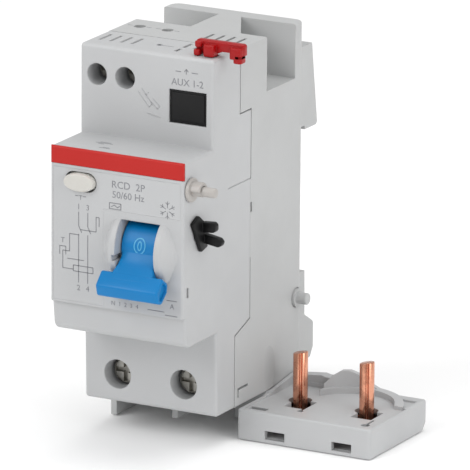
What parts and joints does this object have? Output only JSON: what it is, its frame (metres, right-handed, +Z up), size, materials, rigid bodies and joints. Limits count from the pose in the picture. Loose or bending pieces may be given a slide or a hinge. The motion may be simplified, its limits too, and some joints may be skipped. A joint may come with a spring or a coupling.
{
  "type": "residual current device",
  "caption": "Add-on residual current device: rail-mounted housing with a toggle, test button, locking slider and a side tray whose copper pins enter a breaker.",
  "frame": {"origin": "centre of the rail seat on the back, where the rail's centre line crosses the middle of the two-module body", "axes": "+X right along the rail, +Y back through the rail, +Z up; the front faces -Y"},
  "size_m": [0.07, 0.0733, 0.0975],
  "materials": {
    "cover_grey": "fine moulded texture",
    "base_grey": "fine moulded texture",
    "tray_grey": "fine moulded texture",
    "label_grey": "printed film",
    "strip_red": "satin",
    "slider_red": "satin",
    "toggle_blue": "satin",
    "button_ivory": "satin",
    "link_ivory": "satin",
    "insert_black": "satin",
    "fork_black": "satin",
    "clip_grey": "satin",
    "axle_steel": "ground",
    "spring_steel": "drawn",
    "spring_bronze": "rolled",
    "relay_plastic": "satin",
    "coil_copper": "enamelled wire",
    "core_iron": "varnished",
    "wire_blue": "insulation",
    "wire_brown": "insulation",
    "board_green": "lacquer",
    "component_black": "satin",
    "pin_copper": "drawn copper",
    "screw_steel": "zinc plated",
    "cage_steel": "zinc plated",
    "plate_brass": "rolled"
  },
  "bodies": {
    "housing": {"front_cover": "cover_grey", "rear_base": "base_grey", "red_strip": "strip_red", "label_plate": "label_grey", "window_insert": "insert_black", "side_rivets": "base_grey", "toggle_axle": "axle_steel", "test_contacts": "spring_bronze", "toggle_spring": "spring_steel", "test_spring": "spring_steel", "clip_spring": "spring_steel", "relay_case": "relay_plastic", "relay_coil": "coil_copper", "toroid_core": "core_iron", "toroid_winding": "coil_copper", "conductor_left": "wire_blue", "conductor_right": "wire_brown", "circuit_board": "board_green", "board_components": "component_black", "test_resistor": "component_black", "tray": "tray_grey", "tray_floor": "tray_grey", "copper_pin_left": "pin_copper", "copper_pin_right": "pin_copper", "load_plate_left": "plate_brass", "load_plate_right": "plate_brass", "aux_plate_left": "plate_brass", "aux_plate_right": "plate_brass"},
    "toggle": {"toggle": "toggle_blue"},
    "test_button": {"test_button": "button_ivory"},
    "link_pin": {"link_pin": "link_ivory", "link_retainer": "axle_steel"},
    "trip_fork": {"trip_fork": "fork_black", "trip_lever": "fork_black"},
    "relay_plunger": {"relay_plunger": "axle_steel"},
    "locking_slider": {"locking_slider": "slider_red"},
    "din_clip": {"din_clip": "clip_grey"},
    "load_screw_left": {"load_screw_left": "screw_steel"},
    "load_cage_left": {"load_cage_left": "cage_steel"},
    "load_screw_right": {"load_screw_right": "screw_steel"},
    "load_cage_right": {"load_cage_right": "cage_steel"},
    "aux_screw_left": {"aux_screw_left": "screw_steel"},
    "aux_cage_left": {"aux_cage_left": "cage_steel"},
    "aux_screw_right": {"aux_screw_right": "screw_steel"},
    "aux_cage_right": {"aux_cage_right": "cage_steel"}
  },
  "joints": [
    {"name": "toggle_hinge", "type": "hinge", "parent": "housing", "child": "toggle", "pos_m": [0.0063, -0.053, 0], "axis": [-1, 0, 0], "range_deg": [0, 65]},
    {"name": "test_press", "type": "slide", "parent": "housing", "child": "test_button", "axis": [0, 1, 0], "range_m": [0, 0.0013], "stiffness_N_per_m": 400, "springref_m": -0.001, "deforming": ["test_spring"]},
    {"name": "link_turn", "type": "hinge", "parent": "housing", "child": "link_pin", "pos_m": [0.0175, -0.0558, 0.0155], "axis": [1, 0, 0], "range_deg": [0, 30]},
    {"name": "trip_turn", "type": "hinge", "parent": "housing", "child": "trip_fork", "pos_m": [0.0175, -0.052, 0.0042], "axis": [1, 0, 0], "range_deg": [0, 14.2]},
    {"name": "plunger_slide", "type": "slide", "parent": "housing", "child": "relay_plunger", "axis": [0, 0, 1], "range_m": [0, 0.00244]},
    {"name": "slider_slide", "type": "slide", "parent": "housing", "child": "locking_slider", "axis": [-1, 0, 0], "range_m": [0, 0.0035]},
    {"name": "clip_slide", "type": "slide", "parent": "housing", "child": "din_clip", "axis": [0, 0, -1], "range_m": [0, 0.0045], "stiffness_N_per_m": 900, "springref_m": -0.002, "deforming": ["clip_spring"]},
    {"name": "load_turn_left", "type": "hinge", "parent": "housing", "child": "load_screw_left", "pos_m": [-0.00875, -0.036, -0.0357], "axis": [0, 1, 0], "range_deg": [0, 1625]},
    {"name": "load_lift_left", "type": "slide", "parent": "housing", "child": "load_cage_left", "axis": [0, -1, 0], "range_m": [0, 0.0036]},
    {"name": "load_turn_right", "type": "hinge", "parent": "housing", "child": "load_screw_right", "pos_m": [0.00875, -0.036, -0.0357], "axis": [0, 1, 0], "range_deg": [0, 1625]},
    {"name": "load_lift_right", "type": "slide", "parent": "housing", "child": "load_cage_right", "axis": [0, -1, 0], "range_m": [0, 0.0036]},
    {"name": "aux_turn_left", "type": "hinge", "parent": "housing", "child": "aux_screw_left", "pos_m": [-0.0131, -0.036, 0.0365], "axis": [0, 1, 0], "range_deg": [0, 1625]},
    {"name": "aux_lift_left", "type": "slide", "parent": "housing", "child": "aux_cage_left", "axis": [0, -1, 0], "range_m": [0, 0.00225]},
    {"name": "aux_turn_right", "type": "hinge", "parent": "housing", "child": "aux_screw_right", "pos_m": [-0.0057, -0.036, 0.0365], "axis": [0, 1, 0], "range_deg": [0, 1625]},
    {"name": "aux_lift_right", "type": "slide", "parent": "housing", "child": "aux_cage_right", "axis": [0, -1, 0], "range_m": [0, 0.00225]}
  ],
  "couplings": [
    {"joint": "trip_turn", "follows": "plunger_slide", "rad_per_m": 100},
    {"joint": "load_turn_left", "follows": "load_lift_left", "rad_per_m": 7854},
    {"joint": "load_turn_right", "follows": "load_lift_right", "rad_per_m": 7854},
    {"joint": "aux_turn_left", "follows": "aux_lift_left", "rad_per_m": 12566},
    {"joint": "aux_turn_right", "follows": "aux_lift_right", "rad_per_m": 12566}
  ]
}
